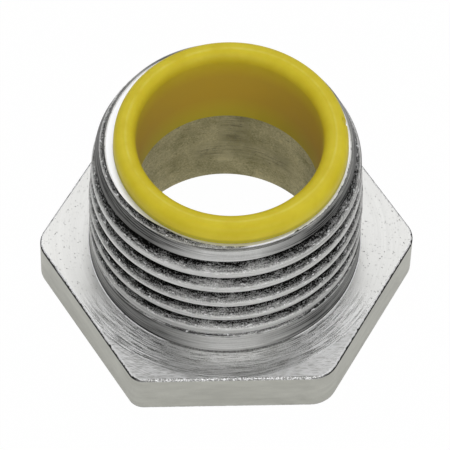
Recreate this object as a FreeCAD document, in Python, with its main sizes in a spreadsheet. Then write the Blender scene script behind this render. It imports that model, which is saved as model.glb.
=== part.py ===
import FreeCAD, Part
import math
import os

import Sketcher

# Insulated chase nipple, half-inch trade size.
# A steel bushing with a thin hexagonal head and a straight pipe thread passes through a
# knockout from inside the box, and a plastic liner covers the sharp threaded end.
# The origin is the middle of the head's flat underside. The axis is +Z, threaded end up,
# and one flat of the head faces -Y. All lengths are in millimetres.

DIMENSIONS = [
    ("flats_width", 25.4, "hexagonal head, across the flats"),
    ("head_thickness", 3.97, "head, 5/32 inch"),
    ("corner_radius", 2.0, "rounding of the head's six corners"),
    ("edge_break", 0.15, "broken edge round both faces of the head"),
    ("shank_length", 12.7, "shoulder to threaded end, half an inch"),
    ("thread_diameter", 20.8, "over the crests, and the plain neck"),
    ("thread_pitch", 1.8143, "14 threads to the inch"),
    ("thread_angle", 60.0, "between the flanks, in degrees"),
    ("crest_flat", 0.45, "land along the top of the thread"),
    ("neck_to_groove", 2.883, "shoulder to the middle of the last full groove, at the back"),
    ("runout_drop", 1.13, "fall of the groove over the turn in which it fades"),
    ("thread_cut_margin", 0.6, "how far the cutter's profile reaches past the crest"),
    ("lead_height", 6.7, "threaded end to the start of the thread's taper"),
    ("lead_fall", 0.3, "how much the taper takes off the radius"),
    ("end_height", 2.0, "length of the bevel at the threaded end"),
    ("end_fall", 1.05, "how much the end bevel takes off the radius"),
    ("steel_wall", 2.45, "steel between the straight bore and the thread's crests"),
    ("mouth_bevel", 1.2, "countersink where the wires leave through the head"),
    ("liner_clearance", 0.02, "gap between the liner's sleeve and the bore, each side"),
    ("liner_wall", 0.98, "wall of the liner's sleeve"),
    ("liner_depth", 6.2, "how far the sleeve reaches down the bore"),
    ("lip_width", 1.84, "section of the liner's rounded lip, from the throat to its outside"),
    ("lip_height", 1.6, "top of the lip above the threaded end"),
    ("lip_turn", 150.0, "how far round its section is an arc, from the outside, in degrees"),
]

# Lengths that several features share, as formulas on the table's values.
SHOULDER = "dims.head_thickness"
TOP = f"({SHOULDER} + dims.shank_length)"
CREST = "(dims.thread_diameter / 2)"
FLANK_SLOPE = "tan(dims.thread_angle / 2 * 1 deg)"
DEPTH = f"((dims.thread_pitch - dims.crest_flat) / 2 / {FLANK_SLOPE})"
GROOVE_HEIGHT = f"({SHOULDER} + dims.neck_to_groove)"
LEAD = f"({CREST} - dims.lead_fall)"
BORE = f"({CREST} - dims.steel_wall)"
THROAT = f"({BORE} - dims.liner_clearance - dims.liner_wall)"
LIP_ROUND = "(dims.lip_width / 2)"
LIP_ARCS = 3

doc = FreeCAD.newDocument("chase_nipple")


def dimension_table():
    """The driving dimensions: one row each, with its meaning beside it."""
    sheet = doc.addObject("Spreadsheet::Sheet", "dims")
    for row, (alias, value, meaning) in enumerate(DIMENSIONS, start=1):
        sheet.set(f"A{row}", str(value))
        sheet.setAlias(f"A{row}", alias)
        sheet.set(f"B{row}", meaning)
    doc.recompute()
    return sheet


dims = dimension_table()


def value(formula):
    """What a formula on the table comes to, as a plain number."""
    return float(dims.evalExpression(formula))


def new_body(label):
    body = doc.addObject("PartDesign::Body", label)
    body.Label = label
    return body


def origin_feature(body, role):
    return next(f for f in body.Origin.OriginFeatures if f.Role == role)


def new_sketch(body, name, plane):
    sketch = body.newObject("Sketcher::SketchObject", name)
    sketch.AttachmentSupport = [(origin_feature(body, plane), "")]
    sketch.MapMode = "FlatFace"
    return sketch


def place_point(sketch, name, edge, end, point):
    """Hold one end of an edge at a point given by two formulas."""
    for kind, letter, formula in zip(("DistanceX", "DistanceY"), "xy", point):
        index = sketch.addConstraint(Sketcher.Constraint(kind, -1, 1, edge, end, value(formula)))
        sketch.renameConstraint(index, name + letter)
        sketch.setExpression(f"Constraints.{name}{letter}", formula)


def draw_outline(sketch, corners, rounds=None):
    """Close an outline through corners given as pairs of formulas.

    rounds gives the radius of each stretch that is an arc, anticlockwise,
    under the number of the corner where it starts. The other stretches are straight.
    """
    rounds = rounds or {}
    spots = [FreeCAD.Vector(value(x), value(y), 0) for x, y in corners]
    for i, start in enumerate(spots):
        finish = spots[(i + 1) % len(spots)]
        if i in rounds:
            radius = value(rounds[i])
            half = (finish - start) / 2
            inward = FreeCAD.Vector(-half.y, half.x, 0).normalize()
            centre = start + half + inward * math.sqrt(radius**2 - half.Length**2)
            circle = Part.Circle(centre, FreeCAD.Vector(0, 0, 1), radius)
            sketch.addGeometry(Part.ArcOfCircle(circle, circle.parameter(start), circle.parameter(finish)))
        else:
            sketch.addGeometry(Part.LineSegment(start, finish))
    for i, corner in enumerate(corners):
        before = (i - 1) % len(corners)
        sketch.addConstraint(Sketcher.Constraint("Coincident", before, 2, i, 1))
        place_point(sketch, f"corner{i}", i, 1, corner)
    for i, formula in rounds.items():
        index = sketch.addConstraint(Sketcher.Constraint("Radius", i, value(formula)))
        sketch.renameConstraint(index, f"round{i}")
        sketch.setExpression(f"Constraints.round{i}", formula)


def revolve(body, name, sketch):
    turn = body.newObject("PartDesign::Revolution", name)
    turn.Profile = sketch
    turn.ReferenceAxis = (origin_feature(body, "Z_Axis"), [""])
    turn.Angle = 360
    doc.recompute()
    return turn


def dress(body, kind, name, base, edges, size_property, formula):
    """Round or break the chosen edges of the feature before."""
    names = [f"Edge{i + 1}" for i, edge in enumerate(base.Shape.Edges) if edges(edge)]
    feature = body.newObject(f"PartDesign::{kind}", name)
    feature.Base = (base, names)
    feature.setExpression(size_property, formula)
    doc.recompute()
    return feature


def along(edge, axis):
    """Whether an edge is straight and lies along an axis."""
    if not isinstance(edge.Curve, Part.Line):
        return False
    return abs(abs(edge.Curve.Direction.dot(axis)) - 1) < 1e-6


def at_height(edge, height):
    box = edge.BoundBox
    return abs(box.ZMin - height) < 1e-6 and abs(box.ZMax - height) < 1e-6


def head(body):
    """The hexagonal head, with rounded corners and broken edges."""
    outline = new_sketch(body, "head_outline", "XY_Plane")
    reach = value("dims.flats_width / 2 / cos(30 deg)")
    corners = []
    for turn in range(6):
        angle = math.radians(60 * turn - 120)
        corners.append(FreeCAD.Vector(reach * math.cos(angle), reach * math.sin(angle), 0))
    for turn in range(6):
        outline.addGeometry(Part.LineSegment(corners[turn], corners[(turn + 1) % 6]))
    ring = outline.addGeometry(Part.Circle(FreeCAD.Vector(0, 0, 0), FreeCAD.Vector(0, 0, 1), reach), True)
    outline.addConstraint(Sketcher.Constraint("Coincident", ring, 3, -1, 1))
    for turn in range(6):
        outline.addConstraint(Sketcher.Constraint("Coincident", turn, 2, (turn + 1) % 6, 1))
        outline.addConstraint(Sketcher.Constraint("PointOnObject", turn, 1, ring))
    for turn in range(1, 6):
        outline.addConstraint(Sketcher.Constraint("Equal", 0, turn))
    outline.addConstraint(Sketcher.Constraint("Horizontal", 0))
    half = outline.addConstraint(Sketcher.Constraint("Distance", -1, 1, 0, value("dims.flats_width / 2")))
    outline.renameConstraint(half, "half_width")
    outline.setExpression("Constraints.half_width", "dims.flats_width / 2")

    slab = body.newObject("PartDesign::Pad", "head_slab")
    slab.Profile = outline
    slab.setExpression("Length", SHOULDER)
    doc.recompute()

    up = FreeCAD.Vector(0, 0, 1)
    corners_round = dress(
        body, "Fillet", "head_corners", slab, lambda edge: along(edge, up), "Radius", "dims.corner_radius"
    )
    shoulder = value(SHOULDER)
    return dress(
        body,
        "Chamfer",
        "head_edges",
        corners_round,
        lambda edge: at_height(edge, 0) or at_height(edge, shoulder),
        "Size",
        "dims.edge_break",
    )


def shank(body):
    """The turned blank above the head: plain cylinder, slight taper and bevelled end."""
    profile = new_sketch(body, "shank_profile", "XZ_Plane")
    draw_outline(
        profile,
        [
            ("0", SHOULDER),
            (CREST, SHOULDER),
            (CREST, f"{TOP} - dims.lead_height"),
            (LEAD, f"{TOP} - dims.end_height"),
            (f"{LEAD} - dims.end_fall", TOP),
            ("0", TOP),
        ],
    )
    return revolve(body, "shank_turned", profile)


def bore(body):
    """The straight bore, countersunk in the head where the wires leave."""
    circle = new_sketch(body, "bore_circle", "XY_Plane")
    radius = value(BORE)
    circle.addGeometry(Part.Circle(FreeCAD.Vector(0, 0, 0), FreeCAD.Vector(0, 0, 1), radius))
    circle.addConstraint(Sketcher.Constraint("Coincident", 0, 3, -1, 1))
    size = circle.addConstraint(Sketcher.Constraint("Radius", 0, radius))
    circle.renameConstraint(size, "bore_size")
    circle.setExpression("Constraints.bore_size", BORE)

    hole = body.newObject("PartDesign::Pocket", "bore_through")
    hole.Profile = circle
    hole.Type = "ThroughAll"
    hole.Reversed = True
    doc.recompute()

    def at_mouth(edge):
        return at_height(edge, 0) and isinstance(edge.Curve, Part.Circle) and edge.Curve.Center.Length < 1e-6

    return dress(body, "Chamfer", "bore_mouth", hole, at_mouth, "Size", "dims.mouth_bevel")


def thread_groove(body, name):
    """Section of the thread's groove, a sharp vee at the back of the shank."""
    section = new_sketch(body, name, "YZ_Plane")
    floor = f"({CREST} - {DEPTH})"
    outside = f"({CREST} + dims.thread_cut_margin)"
    half_mouth = f"({DEPTH} + dims.thread_cut_margin) * {FLANK_SLOPE}"
    draw_outline(
        section,
        [
            (floor, GROOVE_HEIGHT),
            (outside, f"{GROOVE_HEIGHT} - {half_mouth}"),
            (outside, f"{GROOVE_HEIGHT} + {half_mouth}"),
        ],
    )
    return section


def helical_cut(body, name, section, downward):
    cut = body.newObject("PartDesign::SubtractiveHelix", name)
    cut.Profile = section
    cut.ReferenceAxis = (origin_feature(body, "Z_Axis"), [""])
    cut.LeftHanded = False
    cut.Reversed = downward
    return cut


def thread(body):
    """The right-hand thread, and the turn below it in which the groove rises out of the steel."""
    full = helical_cut(body, "thread_full", thread_groove(body, "groove_section"), downward=False)
    full.Mode = "pitch-height-angle"
    full.setExpression("Pitch", "dims.thread_pitch")
    full.setExpression("Height", f"{TOP} + dims.thread_pitch - {GROOVE_HEIGHT}")
    doc.recompute()

    fade = helical_cut(body, "thread_runout", thread_groove(body, "runout_section"), downward=True)
    fade.Mode = "height-turns-growth"
    fade.Turns = 1
    fade.setExpression("Height", "dims.runout_drop")
    fade.setExpression("Growth", f"{DEPTH} + dims.thread_cut_margin")
    doc.recompute()
    return full, fade


def nipple_body():
    """The steel body, turned and threaded from one piece of hexagonal bar."""
    body = new_body("nipple_body")
    head(body)
    blank = shank(body)
    drilled = bore(body)
    full, fade = thread(body)
    for before, after in ((blank, drilled), (drilled, full), (full, fade)):
        if not after.Shape.Volume < before.Shape.Volume:
            raise ValueError(f"{after.Name} cut nothing")
    return body


def throat_liner():
    """The plastic liner: a sleeve in the bore, under a full-round lip on the threaded end."""
    body = new_body("throat_liner")
    profile = new_sketch(body, "liner_profile", "XZ_Plane")
    sleeve = f"({THROAT} + dims.liner_wall)"
    foot = f"({TOP} - dims.liner_depth)"
    corners = [
        (THROAT, foot),
        (sleeve, foot),
        (sleeve, TOP),
        (f"{THROAT} + dims.lip_width", TOP),
    ]
    # The lip's round is a few arcs in a row, whose faces take fewer facets than one,
    # and a short straight lead-in, along the last arc's tangent, ends it at the throat.
    arcs = range(len(corners), len(corners) + LIP_ARCS)
    for step in range(LIP_ARCS + 1):
        turned = f"(dims.lip_turn * {step} / {LIP_ARCS} * 1 deg)"
        across = f"{LIP_ROUND} * (1 + cos({turned}))"
        height = f"({TOP} + dims.lip_height - {LIP_ROUND} * (1 - sin({turned})))"
        corners.append((f"{THROAT} + {across}", height))
    corners.append((THROAT, f"{height} + {across} / tan({turned})"))
    draw_outline(profile, corners, rounds={start: LIP_ROUND for start in arcs})
    revolve(body, "liner_turned", profile)
    return body


def write_parts(bodies):
    """Check every object and shape, then write one file for each piece."""
    for obj in doc.Objects:
        if "Invalid" in obj.State or "Error" in obj.State:
            raise ValueError(f"{obj.Name} failed: {obj.State}")
    for body in bodies:
        shape = body.Shape
        if shape.isNull() or not shape.isValid() or len(shape.Solids) != 1:
            raise ValueError(f"{body.Label} is not one sound solid")
    os.makedirs("parts", exist_ok=True)
    for body in bodies:
        body.Shape.exportStep(f"parts/{body.Label}.step")
        print(f"{body.Label}: {body.Shape.Volume:.1f} mm3")


pieces = [nipple_body(), throat_liner()]
doc.recompute()
write_parts(pieces)
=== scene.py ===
import math

import bmesh
import bpy
from mathutils import Matrix, Vector


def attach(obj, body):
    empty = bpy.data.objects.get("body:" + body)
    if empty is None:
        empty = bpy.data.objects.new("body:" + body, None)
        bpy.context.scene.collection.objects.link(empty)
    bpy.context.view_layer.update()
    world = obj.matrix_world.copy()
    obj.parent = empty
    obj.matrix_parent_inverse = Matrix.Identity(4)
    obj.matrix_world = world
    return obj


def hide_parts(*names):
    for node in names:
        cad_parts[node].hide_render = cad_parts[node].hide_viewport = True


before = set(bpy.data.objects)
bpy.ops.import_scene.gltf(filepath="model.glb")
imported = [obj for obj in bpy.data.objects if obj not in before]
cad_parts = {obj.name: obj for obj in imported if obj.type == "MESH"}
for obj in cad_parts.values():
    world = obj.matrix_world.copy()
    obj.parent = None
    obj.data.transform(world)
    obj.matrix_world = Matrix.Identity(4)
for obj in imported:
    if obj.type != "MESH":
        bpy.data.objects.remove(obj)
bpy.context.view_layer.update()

# Insulated chase nipple: zinc plated steel, turned from hexagonal bar and threaded, with a
# moulded plastic liner in its throat. The origin is the middle of the head's underside,
# +Z runs to the threaded end, and a flat of the head faces -Y. Sizes below are in
# millimetres, and MM turns them into metres.

MM = 0.001

# How near counts as touching: for points that are welded, and for what is picked by its place.
WELD = 0.001
NEAR = 0.01

# Head, cut from hexagonal bar. Each corner has its own radius, given by the angle that it lies
# at. The head is first turned as a round blank, wider than the bar.
FLATS = 25.4
BAR_TURN = math.radians(30)
BAR_CORNER = FLATS / 2 / math.cos(BAR_TURN)
BLANK = FLATS * 0.6
SHOULDER = 3.97
CORNER_ROUNDS = {0: 2.0, 60: 2.0, 120: 2.0, 180: 2.0, 240: 1.3, 300: 2.2}
CORNER_PROFILE = 0.534
EDGE_BREAK = 0.19

# Shank and thread. The thread's section is a vee with a flat land, and it fades out downwards
# over one turn. The shank and its end were turned a little off the axis of the bore.
TOP = SHOULDER + 12.7
CREST = 10.4
PITCH = 1.8143
HALF_ANGLE = math.radians(30)
CREST_FLAT = 0.45
DEPTH = (PITCH - CREST_FLAT) / 2 / math.tan(HALF_ANGLE)
GROOVE_START = SHOULDER + 2.883
RUNOUT_DROP = 1.13
CUTTER_PAST = 0.2
FLANK_CUTS = 8
SOFTEN_START = CREST - 0.15
SOFTEN_DROP = 0.08
TAPER_START = TOP - 6.7
TAPER_RADIUS = CREST - 0.3
BEVEL_START = TOP - 2.0
CHAMFER_START = TOP - 0.36
CHAMFER_RADIUS = TAPER_RADIUS - 0.65
END_RADIUS = CHAMFER_RADIUS - 0.3
END_OFFSET = (-0.11, 0.0)
END_BREAK = 0.07
FOOT_FILLET = 0.12
FILLET_MIDDLE = 0.3 * FOOT_FILLET
ROOT_TAPER = 0.00335
SHANK_OFFSET = (-0.15, 0.17)

# Bore and liner. The lip was moulded a little off the axis of the throat, is a little fuller
# outside than a half circle, and has a fine ring where the mould parted and a nick at its right.
BORE = 7.95
MOUTH_BEVEL = 1.2
SLEEVE = BORE - 0.02
THROAT = SLEEVE - 0.98
LINER_FOOT = TOP - 6.2
LIP_OUTSIDE = THROAT + 1.83
LIP_TOP = TOP + 1.6
LIP_ROUND = (LIP_OUTSIDE - THROAT) / 2
LIP_MIDDLE = THROAT + LIP_ROUND
LIP_OFFSET = (0.1, -0.08)
LIP_FULLNESS = 0.85
LIP_STEPS = 48
WITNESS_RING = 0.03
WITNESS_ANGLE = 92
WITNESS_SPREAD = 4
WITNESS_RADIUS = LIP_MIDDLE - 0.03
NICK_ANGLE = 7.5
NICK_REACH = 0.3
NICK_DEPTH = 0.14

# Steps in a full turn.
ROUND_STEPS = 480
HELIX_STEPS = 360

# Marks, painted shade and painted highlights. The belts round the shank have black score lines at
# its sides, where they are also painted darker as shade, and each has a middle height, a half
# width and the strength of that shade. Past the rim's radius the front of the shoulder has
# scratches, painted bright as highlights. The patches in the bore are dark, and each has a middle
# and a half size sideways, then upwards.
SCORED_SHADED_BELTS = ((5.0, 0.9, 0.45), (15.7, 0.9, 0.8))
SCRATCHED_RIM = 12.75
DARK_PATCHES = ((0.8, 0.5, 7.6, 1.6), (1.4, 3.2, 4.6, 0.3))


def linear(hex_colour):
    """An sRGB hex colour as linear red, green, blue and alpha."""
    parts = [int(hex_colour[i : i + 2], 16) / 255 for i in (1, 3, 5)]
    return [c / 12.92 if c <= 0.04045 else ((c + 0.055) / 1.055) ** 2.4 for c in parts] + [1.0]


def node(tree, kind, inputs=None, output=0, **settings):
    """Add a shader node with its settings and links, and give back one of its outputs.

    An input is given a number, a hex colour, or another node's output, which is linked to it.
    """
    added = tree.nodes.new("ShaderNode" + kind)
    for name, setting in settings.items():
        setattr(added, name, setting)
    for name, given in (inputs or {}).items():
        socket = added.inputs[name]
        if isinstance(given, bpy.types.NodeSocket):
            tree.links.new(given, socket)
        else:
            socket.default_value = linear(given) if isinstance(given, str) else given
    return added.outputs[output] if added.outputs else None


# The inputs of a Map Range node by number: the value, the range that it comes from, and the
# range that it goes to, which is 0 to 1 where none is given.
VALUE, START, END, LOW, HIGH = range(5)

# How even noise is built up: soft lumps, or lumps with finer ones on them.
SOFT_LUMPS = {"Detail": 2.0, "Roughness": 0.6}
FINE_LUMPS = {"Detail": 3.0, "Roughness": 0.6}


def new_material(name):
    """An empty material and its node tree."""
    material = bpy.data.materials.new(name)
    material.use_nodes = True
    material.node_tree.nodes.clear()
    return material, material.node_tree


def lathe_place(tree, centre):
    """Place as the lathe saw it: from its axis, then the way out, the radius and the height."""
    place = node(tree, "TexCoord", output="Object")
    shift = (centre[0] * MM, centre[1] * MM, 0)
    centred = node(tree, "VectorMath", {0: place, 1: shift}, operation="SUBTRACT")
    level = node(tree, "VectorMath", {0: centred, 1: (1, 1, 0)}, operation="MULTIPLY")
    out = node(tree, "VectorMath", {0: level}, operation="NORMALIZE")
    radius = node(tree, "VectorMath", {0: level}, output="Value", operation="LENGTH")
    return centred, out, radius, node(tree, "SeparateXYZ", {0: centred}, output="Z")


def tool_marks(tree, centre, along, across, detail, roughness=0.6):
    """Noise drawn out along the tool's path: marks of a given length and width in mm.

    The real marks are about 0.05 mm wide. Such fine ones don't show in the render, so the finest
    are drawn 0.075 to 0.14 mm wide.
    """
    out, radius, height = lathe_place(tree, centre)[1:]
    turn = CREST / along
    round_path = node(tree, "VectorMath", {0: out, 1: (turn, turn, 0)}, operation="MULTIPLY")
    outwards = node(tree, "Math", {0: radius, 1: 1 / (across * MM)}, operation="MULTIPLY")
    rise = node(tree, "Math", {0: height, 1: 1 / (across * MM)}, operation="MULTIPLY")
    lift = node(tree, "CombineXYZ", {"Z": outwards})
    path = node(tree, "VectorMath", {0: round_path, 1: lift}, operation="ADD")
    marks = {"Vector": path, "W": rise, "Scale": 1.0, "Detail": detail, "Roughness": roughness}
    return node(tree, "TexNoise", marks, noise_dimensions="4D")


def across_marks(tree, centre):
    """The direction on the surface that lies square to the lathe's marks."""
    place = lathe_place(tree, centre)[0]
    facing = node(tree, "NewGeometry", output="Normal")
    round_axis = node(tree, "VectorMath", {0: (0, 0, 1), 1: place}, operation="CROSS_PRODUCT")
    square = node(tree, "VectorMath", {0: round_axis, 1: facing}, operation="CROSS_PRODUCT")
    return node(tree, "VectorMath", {0: square}, operation="NORMALIZE")


def add_up(tree, *terms):
    """The sum of some values, each times its weight."""
    total = 0.0
    for value, weight in terms:
        total = node(tree, "Math", {0: value, 1: weight, 2: total}, operation="MULTIPLY_ADD")
    return total


def overlap(tree, *masks):
    """Where several masks hold at once: their product."""
    shared = masks[0]
    for mask in masks[1:]:
        shared = node(tree, "Math", {0: shared, 1: mask}, operation="MULTIPLY")
    return shared


def layered(tree, colour, *layers):
    """Colours laid over a first one in turn, each as far as its mask says."""
    for mask, above in layers:
        mix = {"Factor": mask, "A": colour, "B": above}
        colour = node(tree, "Mix", mix, output="Result", data_type="RGBA")
    return colour


def band(tree, value, middle, half, soft):
    """A mask for the values within a half width of a middle, fading out over a soft edge."""
    off = node(tree, "Math", {0: value, 1: middle}, operation="SUBTRACT")
    off = node(tree, "Math", {0: off}, operation="ABSOLUTE")
    return node(tree, "MapRange", {VALUE: off, START: half + soft, END: half})


def beside(tree, out):
    """A mask for the left and right sides of the shank, away from its front and back, where shade
    is painted.
    """
    sideways = node(tree, "SeparateXYZ", {0: out}, output="X")
    sideways = node(tree, "Math", {0: sideways}, operation="ABSOLUTE")
    return node(tree, "MapRange", {VALUE: sideways, START: 0.2, END: 0.6})


def metal(tree, colour, roughness, height, relief, centre=None, brushed=0.0, metallic=1.0):
    """Bare metal, with its relief in mm and, where it is brushed, its drawn-out gloss."""
    bumped = node(tree, "Bump", {"Height": height, "Distance": relief * MM, "Strength": 1.0})
    inputs = {
        "Base Color": colour,
        "Metallic": metallic,
        "Roughness": roughness,
        "Normal": bumped,
    }
    if brushed:
        inputs["Anisotropic"] = brushed
        inputs["Tangent"] = across_marks(tree, centre)
    shader = node(tree, "BsdfPrincipled", inputs)
    node(tree, "OutputMaterial", {"Surface": shader})


def front_arcs_and_painted_sheen(tree, centre, rim, fleck, colour, gloss):
    """The front of a face: tool arcs painted bright as highlights on a grey painted as shade, and
    past its rim radius scratches, painted bright as highlights too.

    It gives back the mask of the front, and the face's colour, roughness and metallic.
    """
    place, out, radius, height = lathe_place(tree, centre)
    forward = node(tree, "SeparateXYZ", {0: out}, output="Y")
    front = node(tree, "MapRange", {VALUE: forward, START: -0.4, END: -0.66})
    middle = node(tree, "MapRange", {VALUE: forward, START: -0.84, END: -0.95})

    # Short arcs that the tool left, painted white as highlights on a grey painted as shade.
    arcs = tool_marks(tree, centre, 1.5, 0.075, 3.0, 0.7)
    arcs = add_up(tree, (arcs, 0.62), (fleck, 0.38))
    bright = node(tree, "MapRange", {VALUE: arcs, START: 0.43, END: 0.52})
    painted_arc_sheen = layered(tree, "#8c8c8a", (bright, "#ffffff"))

    # Scratches, drawn out sideways along the front edge, painted bright as highlights.
    drawn = node(tree, "VectorMath", {0: place, 1: (0.22, 1.4, 1)}, operation="MULTIPLY")
    scratch = node(tree, "TexNoise", FINE_LUMPS | {"Vector": drawn, "Scale": 1 / (0.14 * MM)})
    scratch = node(tree, "MapRange", {VALUE: scratch, START: 0.38, END: 0.56})
    scratched = layered(tree, "#d8d8d6", (scratch, "#ffffff"))
    past = {VALUE: radius, START: (rim - 0.06) * MM, END: (rim + 0.06) * MM, HIGH: 0.9}
    past = overlap(tree, node(tree, "MapRange", past), front)

    # The middle of the front is painted greyer as shade. Elsewhere the arcs are painted
    # highlights, made less metallic so that they are bright from every direction.
    painted_front_shade = overlap(tree, middle, 0.4)
    colour = layered(tree, colour, (front, painted_arc_sheen), (painted_front_shade, "#8e8e8c"), (past, scratched))
    away = node(tree, "MapRange", {VALUE: middle, LOW: 1.0, HIGH: 0.2})
    painted_glint = node(tree, "MapRange", {VALUE: arcs, START: 0.48, END: 0.54})
    painted_glint = overlap(tree, front, away, painted_glint)
    gloss = add_up(tree, (gloss, 1.0), (past, 0.3))
    metallic = add_up(tree, (1.0, 1.0), (painted_glint, -0.75), (past, -0.3))
    return front, colour, gloss, metallic


def scored_with_painted_shade(tree, centre, colour, scores):
    """Belts with black score lines on the left and right sides of the shank, painted darker there
    as shade.
    """
    out, radius, height = lathe_place(tree, centre)[1:]
    side = beside(tree, out)
    lines = tool_marks(tree, centre, 6, 0.11, 2.0)
    lines = node(tree, "MapRange", {VALUE: lines, START: 0.48, END: 0.55})
    for middle, half, shade_strength in scores:
        belt = band(tree, height, middle * MM, half * MM, 0.5 * MM)
        # The belt's sides are painted darker as shade, under the black score lines.
        side_shade = overlap(tree, belt, side, shade_strength)
        black = overlap(tree, belt, lines, side, 0.9)
        colour = layered(tree, colour, (side_shade, "#40403e"), (black, "#0e0e0d"))
    return colour


def darkened_patches(tree, centre, marks, colour, dark_patches):
    """Dark, soft patches on the back wall of the bore."""
    place, out, radius, height = lathe_place(tree, centre)
    sideways = node(tree, "SeparateXYZ", {0: place}, output="X")
    backwards = node(tree, "SeparateXYZ", {0: place}, output="Y")
    back = node(tree, "MapRange", {VALUE: backwards, START: 0.0, END: 2 * MM})
    patchy = node(tree, "MapRange", {VALUE: marks, START: 0.46, END: 0.6, HIGH: 0.55})
    for x, half_x, z, half_z in dark_patches:
        across = band(tree, sideways, x * MM, half_x * MM, 1.0 * MM)
        upwards = band(tree, height, z * MM, half_z * MM, 1.1 * MM)
        patch = overlap(tree, across, upwards, back, patchy)
        colour = layered(tree, colour, (patch, "#2e2c22"))
    return colour


def plated_steel(
    name,
    light,
    dark,
    roughness,
    marks,
    relief,
    centre=(0, 0),
    spread=0.12,
    weights=(0.5, 0.25, 0.1, 0.15),
    pits=(0.0, 0.2),
    rings=0.0,
    brushed=0.0,
    rim=None,
    scores=(),
    dark_patches=(),
    metallic=1.0,
):
    """Zinc on machined steel, with sizes in mm.

    light, dark: the two ends of its shade. roughness: the lowest and the highest. marks:
    length and width of the tool's marks. relief: depth of the marks and pits. centre: the axis
    that it was turned on. spread: how far the noise goes from its middle to either end of the
    shade. weights: how much of the shade is fine marks, broad marks, clouds and flecks. pits:
    how dark the small pits are, and their size. rings: how much of the relief is coarse rings.
    brushed: how far its gloss is drawn out across the marks. rim: given where the front has
    tool arcs painted as highlights on painted shade, the radius past which it has scratches
    painted bright too. scores: its belts of score lines, painted darker at the sides as shade.
    dark_patches: its dark patches.
    """
    material, tree = new_material(name)
    along, across = marks
    pit_darkness, pit_size = pits
    fine = tool_marks(tree, centre, along, across, 4.0)
    broad = tool_marks(tree, centre, along * 1.7, across * 3.3, 2.0)
    place = lathe_place(tree, centre)[0]
    cloud = node(tree, "TexNoise", FINE_LUMPS | {"Vector": place, "Scale": 1 / (2.4 * MM)})
    flecks = {"Vector": place, "Scale": 1 / (pit_size * 0.5 * MM)}
    fleck = node(tree, "TexNoise", FINE_LUMPS | flecks)
    shade = add_up(tree, *zip((fine, broad, cloud, fleck), weights))
    shade = node(tree, "MapRange", {VALUE: shade, START: 0.5 - spread, END: 0.5 + spread})
    colour = layered(tree, dark, (shade, light))

    pit = node(tree, "TexNoise", SOFT_LUMPS | {"Vector": place, "Scale": 1 / (pit_size * MM)})
    pit = {VALUE: pit, START: 0.26, END: 0.33, LOW: 1 - pit_darkness, HIGH: 1.0}
    pit = node(tree, "MapRange", pit)
    pitted = {"Factor": 1.0, "A": colour, "B": pit}
    colour = node(
        tree, "Mix", pitted, output="Result", data_type="RGBA", blend_type="MULTIPLY"
    )
    smoothest, roughest = roughness
    gloss = {VALUE: fine, START: 0.3, END: 0.7, LOW: smoothest, HIGH: roughest}
    gloss = node(tree, "MapRange", gloss)

    # The relief is all over the face, or only on its front where that is worn.
    front = 1.0
    if rim:
        front, colour, gloss, metallic = front_arcs_and_painted_sheen(tree, centre, rim, fleck, colour, gloss)
    if scores:
        colour = scored_with_painted_shade(tree, centre, colour, scores)
    if dark_patches:
        patch_marks = add_up(tree, (fine, 0.5), (fleck, 0.5))
        colour = darkened_patches(tree, centre, patch_marks, colour, dark_patches)

    ridge = tool_marks(tree, centre, 10, 0.1, 1.0)
    ridge = node(tree, "MapRange", {VALUE: ridge, START: 0.5, END: 0.62})
    spell = tool_marks(tree, centre, 9, 0.9, 1.0)
    spell = node(tree, "MapRange", {VALUE: spell, START: 0.42, END: 0.58, LOW: 0.15})
    heights = add_up(
        tree,
        (overlap(tree, fine, front), 0.8),
        (pit, 1.0),
        (overlap(tree, ridge, spell, front), rings),
        (overlap(tree, fleck, front), 0.6),
    )
    metal(tree, colour, gloss, heights, relief, centre, brushed, metallic)
    return material


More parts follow.
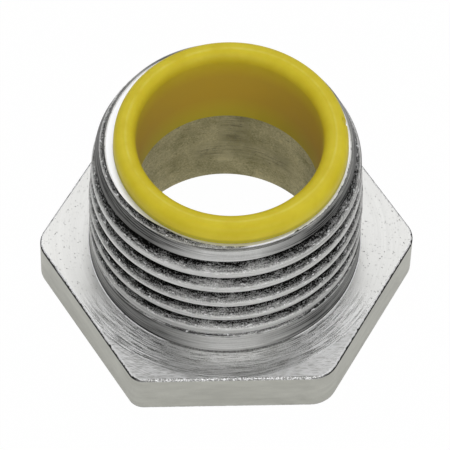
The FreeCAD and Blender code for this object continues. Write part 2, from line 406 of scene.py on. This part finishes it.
def torn_thread(name):
    """Zinc on the flanks of the thread, which the die tore more than it cut.

    The shade is painted by the depth under the crest: black in the root as painted shade, and
    silver near the land, with a painted highlight at its edge. The left and right sides are
    painted darker as shade.
    """
    material, tree = new_material(name)
    place, out, radius, height = lathe_place(tree, SHANK_OFFSET)
    taper_fall, bevel_fall = CREST - TAPER_RADIUS, TAPER_RADIUS - CHAMFER_RADIUS
    taper = {VALUE: height, START: TAPER_START * MM, END: BEVEL_START * MM, HIGH: taper_fall}
    bevel = {VALUE: height, START: BEVEL_START * MM, END: CHAMFER_START * MM, HIGH: bevel_fall}
    taper, bevel = [node(tree, "MapRange", fall) for fall in (taper, bevel)]
    depth = add_up(tree, (1.0, CREST), (taper, -1.0), (bevel, -1.0), (radius, -1 / MM))
    # Painted shade by depth: black deep in the groove, lighter towards the crest, with a painted
    # highlight along the land's edge.
    painted_depth_shade = node(tree, "MapRange", {VALUE: depth, START: 0.62, END: 0.1})
    rim = node(tree, "MapRange", {VALUE: depth, START: 0.14, END: 0.02})

    # The torn grain is about 0.05 mm, too fine to show, and is drawn twice as coarse.
    torn = {"Vector": place, "Scale": 1 / (0.1 * MM), "Detail": 2.0, "Roughness": 0.75}
    specks = node(tree, "TexNoise", torn)
    specks = node(tree, "MapRange", {VALUE: specks, START: 0.38, END: 0.62})
    streaks = tool_marks(tree, SHANK_OFFSET, 0.6, 0.1, 2.0)
    streaks = node(tree, "MapRange", {VALUE: streaks, START: 0.38, END: 0.62})
    smears = tool_marks(tree, SHANK_OFFSET, 2.2, 0.6, 2.0)
    smears = node(tree, "MapRange", {VALUE: smears, START: 0.5, END: 0.66})
    # The left and right sides are painted darker as shade.
    shade = add_up(
        tree,
        (painted_depth_shade, 0.6),
        (rim, 0.7),
        (specks, 0.5),
        (streaks, 0.3),
        (smears, 0.3),
        (beside(tree, out), -0.27),
    )
    shade = node(tree, "MapRange", {VALUE: shade, START: 0.42, END: 1.5})

    # Where the groove fades out over the neck, the die has only scored the steel.
    fading = node(tree, "MapRange", {VALUE: height, START: 6.9 * MM, END: 6.5 * MM})
    lines = tool_marks(tree, SHANK_OFFSET, 5, 0.12, 2.0)
    lines = node(tree, "MapRange", {VALUE: lines, START: 0.46, END: 0.54})
    faded = overlap(tree, fading, lines, 0.85)

    # Small burrs near the crest, painted white as highlights where they would catch the light.
    burr = tool_marks(tree, SHANK_OFFSET, 0.35, 0.12, 2.0, 0.5)
    burr = node(tree, "MapRange", {VALUE: burr, START: 0.6, END: 0.66})
    near_crest = node(tree, "MapRange", {VALUE: depth, START: 0.45, END: 0.15})
    burr = overlap(tree, burr, near_crest)
    colour = layered(tree, "#0e0e0d", (shade, "#e6e6e4"), (faded, "#101010"), (burr, "#ffffff"))
    metal(tree, colour, 0.42, add_up(tree, (specks, 0.7), (streaks, 0.5)), 0.03)
    return material


def burred_edge(name, front_dark, front_light, metallic=0.6):
    """An edge with a ragged burr.

    On the sides it is painted white as a highlight where it faces up, and black as shadow where
    it turns down. At the front it is sheared, and goes from one colour to the other.
    """
    material, tree = new_material(name)
    place, out = lathe_place(tree, (0, 0))[:2]
    facing = node(tree, "NewGeometry", output="Normal")
    upward = node(tree, "SeparateXYZ", {0: facing}, output="Z")
    forward = node(tree, "SeparateXYZ", {0: out}, output="Y")
    lumps = {"Vector": place, "Scale": 1 / (0.3 * MM), "Detail": 3.0, "Roughness": 0.65}
    ragged = node(tree, "TexNoise", lumps)
    fine = node(tree, "TexNoise", SOFT_LUMPS | {"Vector": place, "Scale": 1 / (0.12 * MM)})
    sides = node(tree, "MapRange", {VALUE: forward, START: -0.9, END: -0.86})
    # Painted highlight where the edge faces up, painted shadow where it turns down.
    edge = add_up(tree, (upward, 1.0), (ragged, 0.9))
    bright = node(tree, "MapRange", {VALUE: edge, START: 1.18, END: 1.24})
    sheared = node(tree, "MapRange", {VALUE: fine, START: 0.46, END: 0.6})
    front = layered(tree, front_dark, (sheared, front_light))
    side = layered(tree, "#0c0c0b", (bright, "#ffffff"))
    colour = layered(tree, front, (sides, side))
    metal(tree, colour, 0.4, ragged, 0.02, metallic=metallic)
    return material


def moulded_nylon(name):
    """Yellow nylon from a mould.

    The throat is painted a deeper, darker orange as shade, the colour is lighter towards the thin
    lower end of the sleeve, the corner at the foot of the lip is painted darker as shade, and the
    mould's parting ring is painted lighter as a highlight.
    """
    material, tree = new_material(name)
    place, out, radius, height = lathe_place(tree, (0, 0))
    lip_radius = lathe_place(tree, LIP_OFFSET)[2]
    cloud = node(tree, "TexNoise", FINE_LUMPS | {"Vector": place, "Scale": 1 / (2.6 * MM)})
    cloud = node(tree, "MapRange", {VALUE: cloud, START: 0.35, END: 0.65})

    # The throat, painted a deeper orange as shade.
    inside = {VALUE: radius, START: (THROAT + 0.5) * MM, END: THROAT * MM}
    below = {VALUE: height, START: LIP_TOP * MM, END: (TOP - 1.0) * MM}
    inside, below = [node(tree, "MapRange", limits) for limits in (inside, below)]
    throat = overlap(tree, inside, below)
    thin = {VALUE: height, START: (LINER_FOOT + 2.6) * MM, END: LINER_FOOT * MM, HIGH: 0.8}
    thin = node(tree, "MapRange", thin)

    # The mould's parting line, a fine raised ring on top of the lip, painted lighter as a
    # highlight.
    seam_highlight = band(tree, lip_radius, WITNESS_RADIUS * MM, 0.03 * MM, 0.1 * MM)
    upper = {VALUE: height, START: (LIP_TOP - 0.4) * MM, END: (LIP_TOP - 0.3) * MM}
    seam_highlight = overlap(tree, seam_highlight, node(tree, "MapRange", upper))
    seam_highlight = overlap(tree, seam_highlight, cloud, 0.4)

    # The corner at the foot of the lip, painted darker as shade.
    low = {VALUE: height, START: (TOP + 0.55) * MM, END: (TOP + 0.3) * MM, HIGH: 0.5}
    outer = {VALUE: lip_radius, START: (LIP_OUTSIDE - 0.5) * MM, END: (LIP_OUTSIDE - 0.4) * MM}
    low, outer = [node(tree, "MapRange", limits) for limits in (low, outer)]
    foot = overlap(tree, low, outer)

    colour = layered(tree, "#dac626", (cloud, "#e3d132"), (throat, "#cfae3c"), (thin, "#d6cc3a"))
    colour = layered(tree, colour, (seam_highlight, "#ece474"), (foot, "#8e8a2a"))

    # The mould's own grain is about 0.03 mm, too fine to show, and is drawn at 0.12 mm.
    moulded = node(tree, "TexNoise", SOFT_LUMPS | {"Vector": place, "Scale": 1 / (0.12 * MM)})
    bump = {"Height": moulded, "Distance": 0.004 * MM, "Strength": 0.6}
    shader = node(
        tree,
        "BsdfPrincipled",
        {
            "Base Color": colour,
            "Roughness": 0.5,
            "IOR": 1.53,
            "Specular IOR Level": 0.25,
            "Subsurface Weight": 0.15,
            "Subsurface Radius": (0.6 * MM, 0.4 * MM, 0.08 * MM),
            "Subsurface Scale": 1.0,
            "Normal": node(tree, "Bump", bump),
        },
    )
    node(tree, "OutputMaterial", {"Surface": shader})
    return material


# Steel under bright zinc, turned: silvery, with fine rings round the shank that draw its gloss
# out up and down. Near the foot and near the end its sides have black score lines, and are
# painted darker there as shade.
TURNED = plated_steel(
    "zinc_plated_steel_turned",
    light="#efefed",
    dark="#b6b6b4",
    roughness=(0.3, 0.42),
    marks=(5, 0.09),
    relief=0.003,
    centre=SHANK_OFFSET,
    brushed=0.5,
    scores=SCORED_SHADED_BELTS,
)
# The same steel, faced: even and pale, with a few dark pits. Its front has tool arcs painted
# bright as highlights on a grey painted as shade, and its front edge short scratches painted
# white as highlights.
FACED = plated_steel(
    "zinc_plated_steel_faced",
    light="#c8c8c6",
    dark="#bcbcba",
    roughness=(0.28, 0.34),
    marks=(4, 0.12),
    relief=0.022,
    centre=SHANK_OFFSET,
    spread=0.1,
    pits=(0.7, 0.15),
    rings=0.8,
    brushed=0.2,
    rim=SCRATCHED_RIM,
)
# The flats of the bar, cold drawn and not cut: smooth and duller, with faint long streaks.
FLATS_FINISH = plated_steel(
    "zinc_plated_steel_drawn_flat",
    light="#d2d2ca",
    dark="#bcbcb4",
    roughness=(0.42, 0.5),
    marks=(3, 0.5),
    relief=0.003,
)
# The groove of the thread, cut by a die: rough, painted black as shade in the root and darker
# at the sides, and speckled with silver towards the crest, with a painted highlight at the land.
TORN = torn_thread("zinc_plated_steel_cut_thread")
# The narrow chamfer at the end, turned: streaks from silver to black, and dark pits.
CHAMFERED = plated_steel(
    "zinc_plated_steel_end_chamfer",
    light="#c4c4c0",
    dark="#1e1e1c",
    roughness=(0.3, 0.45),
    marks=(3, 0.09),
    relief=0.02,
    centre=END_OFFSET,
    spread=0.09,
    pits=(0.6, 0.15),
)
# The bore, drilled: matt, and mottled in straw and brown where the zinc is thin, with two dark
# patches on its back wall.
DRILLED = plated_steel(
    "zinc_plated_steel_drilled",
    light="#dcd5ae",
    dark="#9c9770",
    roughness=(0.4, 0.6),
    marks=(2.5, 0.14),
    relief=0.01,
    spread=0.1,
    weights=(0.13, 0.12, 0.4, 0.35),
    brushed=0.2,
    pits=(0.35, 0.3),
    dark_patches=DARK_PATCHES,
)
# The end face round the lip, finely turned: painted almost white as a highlight, and only half
# metallic, so that it stays white.
END_FACE = plated_steel(
    "zinc_plated_steel_end_face",
    light="#fafbff",
    dark="#f2f4fa",
    roughness=(0.3, 0.4),
    marks=(5, 0.1),
    relief=0.002,
    centre=END_OFFSET,
    metallic=0.5,
)
# The broken edges of the head: painted at the sides as a thin black line of shadow under a
# white highlight, and crumbs of white in front.
BURRED = burred_edge("zinc_plated_steel_burred_edge", "#9a9a97", "#ffffff")
# The small fillet at the foot of the shank: painted at the sides as a thin black line of
# shadow under a white highlight, grey in front.
FOOT = burred_edge("zinc_plated_steel_foot_fillet", "#6c6c6a", "#9a9a98")
# The edge between the end face and the chamfer: a ragged white line, painted as a highlight,
# with a painted black shadow where it turns down at the sides.
END_BURR = burred_edge("zinc_plated_steel_end_burr", "#f4f5ff", "#ffffff", metallic=0.2)
# Nylon, moulded: satin and slightly cloudy, and it lets a little light in, so that its shaded
# side stays warm.
NYLON = moulded_nylon("moulded_yellow_nylon")

# The finishes of the steel, in the order of its material slots.
FINISHES = (TURNED, FACED, DRILLED, END_FACE, BURRED, CHAMFERED, FOOT, END_BURR)


def deselect():
    """Leave edit mode and select nothing."""
    if bpy.context.object and bpy.context.object.mode == "EDIT":
        bpy.ops.object.mode_set(mode="OBJECT")
    bpy.ops.object.select_all(action="DESELECT")


def work_on(piece, mode="OBJECT"):
    """Select one piece alone, and go to a mode."""
    deselect()
    piece.select_set(True)
    bpy.context.view_layer.objects.active = piece
    bpy.ops.object.mode_set(mode=mode)


def settle(name):
    """Name the new primitive and put its place into its mesh."""
    piece = bpy.context.object
    piece.name = piece.data.name = name
    bpy.ops.object.transform_apply(location=True, rotation=True, scale=True)
    return piece


def pick(piece, kind, chosen):
    """In edit mode, select only the elements of a kind that pass a test."""
    bpy.ops.mesh.select_mode(type=kind)
    bpy.ops.mesh.select_all(action="DESELECT")
    mesh = bmesh.from_edit_mesh(piece.data)
    elements = {"VERT": mesh.verts, "EDGE": mesh.edges, "FACE": mesh.faces}[kind]
    for element in elements:
        if chosen(element):
            element.select_set(True)
    bmesh.update_edit_mesh(piece.data)


def turned(name, profile):
    """Turn a closed profile, by pulling one ring from spot to spot.

    Each spot has a radius, a height and the centre that the ring has there.
    """
    deselect()
    radius, height, (x, y) = profile[0]
    bpy.ops.mesh.primitive_circle_add(
        vertices=ROUND_STEPS,
        radius=radius * MM,
        location=(x * MM, y * MM, height * MM),
        rotation=(0, 0, math.pi / ROUND_STEPS),
    )
    piece = settle(name)
    work_on(piece, "EDIT")
    bpy.ops.mesh.select_all(action="SELECT")
    for (r0, z0, c0), (r1, z1, c1) in zip(profile, profile[1:] + profile[:1]):
        move = ((c1[0] - c0[0]) * MM, (c1[1] - c0[1]) * MM, (z1 - z0) * MM)
        bpy.ops.mesh.extrude_edges_move(TRANSFORM_OT_translate={"value": move})
        centre = (c1[0] * MM, c1[1] * MM, 0)
        bpy.ops.transform.resize(value=(r1 / r0, r1 / r0, 1), center_override=centre)
    bpy.ops.mesh.select_all(action="SELECT")
    bpy.ops.mesh.remove_doubles(threshold=WELD * MM)
    bpy.ops.mesh.normals_make_consistent(inside=False)
    deselect()
    return piece


def apply(piece, kind, **settings):
    """Add a modifier with its settings and apply it."""
    work_on(piece)
    modifier = piece.modifiers.new(kind.lower(), kind)
    for name, setting in settings.items():
        setattr(modifier, name, setting)
    bpy.ops.object.modifier_apply(modifier=modifier.name)


def combine(piece, tool, operation):
    """Cut a piece with a tool, which leaves its own finish on the new faces."""
    apply(
        piece,
        "BOOLEAN",
        object=tool,
        operation=operation,
        solver="EXACT",
        material_mode="TRANSFER",
    )
    bpy.data.objects.remove(tool)


def runs_level(edge):
    """Whether an edge runs level."""
    return abs(edge.verts[0].co.z - edge.verts[1].co.z) < WELD * MM


def hexagonal_bar():
    """The bar with its rounded corners, as a tool to cut the head's outline with."""
    deselect()
    bpy.ops.mesh.primitive_cylinder_add(
        vertices=6,
        radius=BAR_CORNER * MM,
        depth=2 * TOP * MM,
        rotation=(0, 0, BAR_TURN),
    )
    bar = settle("hexagonal_bar")
    work_on(bar, "EDIT")
    for angle, rounding in CORNER_ROUNDS.items():
        turn = math.radians(angle)
        corner = Vector((math.cos(turn), math.sin(turn))) * BAR_CORNER * MM
        pick(bar, "EDGE", lambda e: all((v.co.xy - corner).length < MM for v in e.verts))
        bpy.ops.mesh.bevel(
            offset=rounding * math.tan(BAR_TURN) * MM,
            segments=8,
            profile=CORNER_PROFILE,
            affect="EDGES",
        )
    bar.data.materials.append(FLATS_FINISH)
    deselect()
    return bar


def vee_section(name):
    """The thread cutter's section at the back of the shank, its point towards the axis.

    Its lower flank drops away a little at the crest, which softens the land under it.
    """
    deselect()
    height = DEPTH + CUTTER_PAST
    out = CREST - DEPTH + height * 2 / 3
    bpy.ops.mesh.primitive_circle_add(
        vertices=3,
        radius=height * 2 / 3 * MM,
        location=(0, out * MM, GROOVE_START * MM),
        rotation=(0, -math.pi / 2, math.pi),
    )
    section = settle(name)
    work_on(section, "EDIT")
    point = min(v.co.y for v in bmesh.from_edit_mesh(section.data).verts)
    pick(section, "EDGE", lambda e: min(v.co.y for v in e.verts) < point + NEAR * MM)
    bpy.ops.mesh.subdivide(number_cuts=FLANK_CUTS)
    middle = GROOVE_START * MM
    for past, drop in ((SOFTEN_START, SOFTEN_DROP / 4), (CREST, SOFTEN_DROP)):
        pick(section, "VERT", lambda v: v.co.y > past * MM and v.co.z < middle)
        bpy.ops.transform.translate(value=(0, 0, -drop * MM))
    deselect()
    return section


def close_ends(tool):
    """Close the two open ends of the cutter, and turn its faces outwards."""
    work_on(tool, "EDIT")
    middle = (SHOULDER + TOP) / 2 * MM
    for low in (True, False):
        pick(tool, "EDGE", lambda e: e.is_boundary and (e.verts[0].co.z < middle) == low)
        bpy.ops.mesh.edge_face_add()
    bpy.ops.mesh.select_all(action="SELECT")
    bpy.ops.mesh.normals_make_consistent(inside=False)
    deselect()


def thread_cutter():
    """The groove as one long tool: full turns up the shank, and the turn in which it backs out."""
    cutter = vee_section("thread_cutter")
    apply(
        cutter,
        "SCREW",
        axis="Z",
        screw_offset=PITCH * MM,
        iterations=math.ceil((TOP + PITCH - GROOVE_START) / PITCH),
        steps=HELIX_STEPS,
        render_steps=HELIX_STEPS,
        use_merge_vertices=False,
    )
    runout = vee_section("thread_runout")
    work_on(runout, "EDIT")
    bpy.ops.mesh.select_all(action="SELECT")
    step = 2 * math.pi / HELIX_STEPS
    back_out = (DEPTH + CUTTER_PAST) / HELIX_STEPS * MM
    drop = RUNOUT_DROP / HELIX_STEPS * MM
    for turn in range(HELIX_STEPS):
        angle = math.pi / 2 - turn * step
        move = (math.cos(angle) * back_out, math.sin(angle) * back_out, -drop)
        bpy.ops.mesh.extrude_edges_move(TRANSFORM_OT_translate={"value": move})
        bpy.ops.transform.rotate(value=step, orient_axis="Z", center_override=(0, 0, 0))
    deselect()
    runout.select_set(True)
    cutter.select_set(True)
    bpy.context.view_layer.objects.active = cutter
    bpy.ops.object.join()
    work_on(cutter, "EDIT")
    bpy.ops.mesh.select_all(action="SELECT")
    bpy.ops.mesh.remove_doubles(threshold=WELD * MM)
    close_ends(cutter)
    taper = -ROOT_TAPER * cutter.dimensions.z / MM
    apply(cutter, "SIMPLE_DEFORM", deform_method="TAPER", deform_axis="Z", factor=taper)
    work_on(cutter, "EDIT")
    bpy.ops.mesh.select_all(action="SELECT")
    widen = 1 / (1 - ROOT_TAPER * (GROOVE_START + PITCH / 2))
    bpy.ops.transform.resize(value=(widen, widen, 1), center_override=(0, 0, 0))
    bpy.ops.transform.translate(value=(SHANK_OFFSET[0] * MM, SHANK_OFFSET[1] * MM, 0))
    deselect()
    cutter.data.materials.append(TORN)
    return cutter


def steel_body():
    """The steel: its shank was turned a little off the axis of the bar and the bore."""
    axis = (0, 0)
    body = turned(
        "steel_nipple",
        [
            (BORE + MOUTH_BEVEL, 0, axis),
            (BLANK, 0, axis),
            (BLANK, SHOULDER, axis),
            (CREST + FOOT_FILLET, SHOULDER, SHANK_OFFSET),
            (CREST + FILLET_MIDDLE, SHOULDER + FILLET_MIDDLE, SHANK_OFFSET),
            (CREST, SHOULDER + FOOT_FILLET, SHANK_OFFSET),
            (CREST, TAPER_START, SHANK_OFFSET),
            (TAPER_RADIUS, BEVEL_START, SHANK_OFFSET),
            (CHAMFER_RADIUS, CHAMFER_START, SHANK_OFFSET),
            (END_RADIUS, TOP, END_OFFSET),
            (BORE, TOP, axis),
            (BORE, MOUTH_BEVEL, axis),
        ],
    )
    for finish in FINISHES:
        body.data.materials.append(finish)
    slot = FINISHES.index
    end = (TOP - NEAR) * MM
    for face in body.data.polygons:
        radius, height = face.center.xy.length, face.center.z
        in_mouth = height < MOUTH_BEVEL * MM and radius < (BORE + MOUTH_BEVEL) * MM
        if radius < (BORE + NEAR) * MM or in_mouth:
            face.material_index = slot(DRILLED)
        elif height > end:
            face.material_index = slot(END_FACE)
        elif abs(face.normal.z) > 0.99:
            face.material_index = slot(FACED)
        elif 0.2 < face.normal.z < 0.95 and height < TAPER_START * MM:
            face.material_index = slot(FOOT)
        elif height > CHAMFER_START * MM:
            face.material_index = slot(CHAMFERED)

    # The outer edge of the end face is broken, with a burr on it.
    work_on(body, "EDIT")
    middle = (BORE + END_RADIUS) / 2 * MM
    pick(body, "EDGE", lambda e: all(v.co.z > end and v.co.xy.length > middle for v in e.verts))
    bpy.ops.mesh.bevel(
        offset=END_BREAK * MM, segments=2, affect="EDGES", material=slot(END_BURR)
    )
    combine(body, hexagonal_bar(), "INTERSECT")

    # The long level edges across the shoulder and the underside go, so that the outline takes
    # its bevel cleanly. Those in front and at the back stay, so that no face is a closed ring.
    work_on(body, "EDIT")
    pick(
        body,
        "EDGE",
        lambda e: runs_level(e)
        and e.calc_length() > 1.5 * MM
        and max(v.co.z for v in e.verts) < (SHOULDER + NEAR) * MM
        and abs(e.verts[0].co.x + e.verts[1].co.x) > MM,
    )
    bpy.ops.mesh.dissolve_edges()
    outline = (FLATS / 2 - NEAR) * MM
    pick(
        body,
        "EDGE",
        lambda e: runs_level(e)
        and min(v.co.xy.length for v in e.verts) > outline
        and e.is_manifold
        and e.calc_face_angle(0) > 1,
    )
    bpy.ops.mesh.bevel(offset=EDGE_BREAK * MM, segments=3, affect="EDGES", material=slot(BURRED))
    combine(body, thread_cutter(), "DIFFERENCE")

    # Two finishes meet in a sharp edge.
    work_on(body, "EDIT")
    pick(
        body,
        "EDGE",
        lambda e: e.is_manifold and len({face.material_index for face in e.link_faces}) == 2,
    )
    bpy.ops.mesh.mark_sharp()
    deselect()
    return body


def throat_liner():
    """The liner: its lip was moulded a little off the axis of its throat."""
    axis = (0, 0)
    profile = [
        (THROAT + 0.1, LINER_FOOT, axis),
        (SLEEVE - 0.1, LINER_FOOT, axis),
        (SLEEVE, LINER_FOOT + 0.1, axis),
        (SLEEVE, TOP, axis),
        (LIP_OUTSIDE - 0.06, TOP, LIP_OFFSET),
        (LIP_OUTSIDE, TOP + 0.06, LIP_OFFSET),
    ]
    for step in range(LIP_STEPS + 1):
        angle = math.pi * step / LIP_STEPS
        share = (1 + math.cos(angle)) / 2
        from_ring = (math.degrees(angle) - WITNESS_ANGLE) / WITNESS_SPREAD
        curve = LIP_ROUND - WITNESS_RING + WITNESS_RING * math.exp(-(from_ring**2))
        out, up = math.cos(angle), math.sin(angle)
        if out > 0:
            out, up = out**LIP_FULLNESS, up**LIP_FULLNESS
        profile.append(
            (
                LIP_MIDDLE + curve * out,
                LIP_TOP - LIP_ROUND + curve * up,
                (LIP_OFFSET[0] * share, LIP_OFFSET[1] * share),
            )
        )
    profile.append((THROAT, LINER_FOOT + 0.1, axis))
    liner = turned("nylon_throat_liner", profile)
    work_on(liner, "EDIT")
    turn = math.radians(NICK_ANGLE)
    nick = Vector((math.cos(turn), math.sin(turn))) * LIP_OUTSIDE * MM
    reach = NICK_REACH * MM
    pick(
        liner,
        "VERT",
        lambda v: v.co.z > (TOP - NEAR) * MM and (v.co.xy - nick).length < reach,
    )
    bpy.ops.transform.translate(value=(-NICK_DEPTH * MM, 0, 0))
    deselect()
    liner.data.materials.append(NYLON)
    return liner


def displaced(piece, chosen, name, size, height, direction="NORMAL"):
    """Move the chosen vertices by lumpy noise of a given size and height in mm."""
    group = piece.vertex_groups.new(name=name)
    group.add(sorted(chosen), 1.0, "ADD")
    lumps = bpy.data.textures.new(name, "CLOUDS")
    lumps.noise_scale = size * MM
    lumps.noise_depth = 3
    apply(
        piece,
        "DISPLACE",
        texture=lumps,
        vertex_group=group.name,
        strength=height * MM,
        mid_level=0.5,
        direction=direction,
        texture_coords="LOCAL",
    )


def tear(piece):
    """Tear the thread's flanks, and leave the upper edge of each land a little ragged."""
    torn = piece.data.materials.find(TORN.name)
    land = piece.data.materials.find(TURNED.name)
    inside, outline, floor_edge, land_edge = set(), set(), set(), set()
    for face in piece.data.polygons:
        if face.material_index == torn:
            inside.update(face.vertices)
            if face.normal.z > 0.1:
                floor_edge.update(face.vertices)
        else:
            outline.update(face.vertices)
            if face.material_index == land:
                land_edge.update(face.vertices)
    displaced(piece, inside - outline, "torn_flanks", size=0.3, height=0.12)
    ragged = floor_edge & land_edge
    displaced(piece, ragged, "ragged_lands", size=0.45, height=0.16, direction="Z")


def smooth(piece, angle):
    """Shade faces as one surface where they meet at less than an angle in degrees."""
    work_on(piece)
    bpy.ops.object.shade_smooth_by_angle(angle=math.radians(angle))
    deselect()


steel = steel_body()
tear(steel)
smooth(steel, angle=42)
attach(steel, "root")
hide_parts("nipple_body")

liner = throat_liner()
smooth(liner, angle=35)
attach(liner, "root")
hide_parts("throat_liner")


def paper_floor():
    """White paper, bright to the camera and in reflections, with a soft trace of shadow."""
    material, tree = new_material("white_paper")
    seen = add_up(
        tree,
        (node(tree, "LightPath", output="Is Camera Ray"), 0.99),
        (node(tree, "LightPath", output="Is Glossy Ray"), 0.35),
        (node(tree, "LightPath", output="Is Transmission Ray"), 0.35),
    )
    paper = node(tree, "BsdfDiffuse", {"Color": "#ededed"})
    glow = node(tree, "Emission", {"Color": "#ffffff", "Strength": 1.0})
    mixed = node(tree, "MixShader", {0: seen, 1: paper, 2: glow})
    node(tree, "OutputMaterial", {"Surface": mixed})
    deselect()
    bpy.ops.mesh.primitive_plane_add(size=1.2)
    floor = settle("floor")
    floor.data.materials.append(material)
    return floor


paper_floor()

# The camera, aimed at the origin from an azimuth and an elevation, with millimetres for its
# distance, its shifts to the right and upwards, and its lens.
CAMERA_AZIMUTH = math.radians(-3.12)
CAMERA_ELEVATION = math.radians(56.41)
CAMERA_ROLL = math.radians(1.71)
CAMERA_DISTANCE = 317.17
CAMERA_RIGHT = -0.061
CAMERA_UP = 3.254
LENS = 326.07
SENSOR = 36


def add_camera():
    """The camera where the photo was taken from."""
    azimuth, elevation = CAMERA_AZIMUTH, CAMERA_ELEVATION
    back = Vector(
        (
            math.sin(azimuth) * math.cos(elevation),
            -math.cos(azimuth) * math.cos(elevation),
            math.sin(elevation),
        )
    )
    flat = Vector((math.cos(azimuth), math.sin(azimuth), 0))
    right = flat * math.cos(CAMERA_ROLL) + back.cross(flat) * math.sin(CAMERA_ROLL)
    up = back.cross(right)
    data = bpy.data.cameras.new("camera")
    data.lens = LENS
    data.sensor_width = SENSOR
    camera = bpy.data.objects.new("camera", data)
    bpy.context.scene.collection.objects.link(camera)
    place = (right * CAMERA_RIGHT + up * CAMERA_UP + back * CAMERA_DISTANCE) * MM
    turn = Matrix((right, up, back)).transposed().to_4x4()
    camera.matrix_world = Matrix.Translation(place) @ turn
    bpy.context.scene.camera = camera


def softbox(name, azimuth, elevation, distance, width, height, brightness):
    """A rectangular soft light that faces the object. Sizes in metres, angles in degrees."""
    data = bpy.data.lights.new(name, "AREA")
    data.shape = "RECTANGLE"
    data.size = width
    data.size_y = height
    data.energy = brightness * math.pi * width * height
    lamp = bpy.data.objects.new(name, data)
    bpy.context.scene.collection.objects.link(lamp)
    turn, lift = math.radians(azimuth), math.radians(elevation)
    flat = math.cos(lift)
    aim = Vector((math.sin(turn) * flat, -math.cos(turn) * flat, math.sin(lift)))
    lamp.location = aim * distance
    lamp.rotation_euler = aim.to_track_quat("Z", "Y").to_euler()


def studio():
    """A plain white room with one large soft light behind the object and one in front of it."""
    world = bpy.data.worlds.new("studio")
    world.use_nodes = True
    tree = world.node_tree
    tree.nodes.clear()
    sky = node(tree, "Background", {"Color": "#ffffff", "Strength": 0.3})
    node(tree, "OutputWorld", {"Surface": sky})
    bpy.context.scene.world = world
    size = {"width": 0.95, "height": 0.5}
    softbox("back_softbox", azimuth=180, elevation=58, distance=0.7, brightness=1.35, **size)
    softbox("front_softbox", azimuth=12, elevation=45, distance=0.8, brightness=1.8, **size)


add_camera()
studio()
bpy.context.scene.view_settings.view_transform = "Standard"
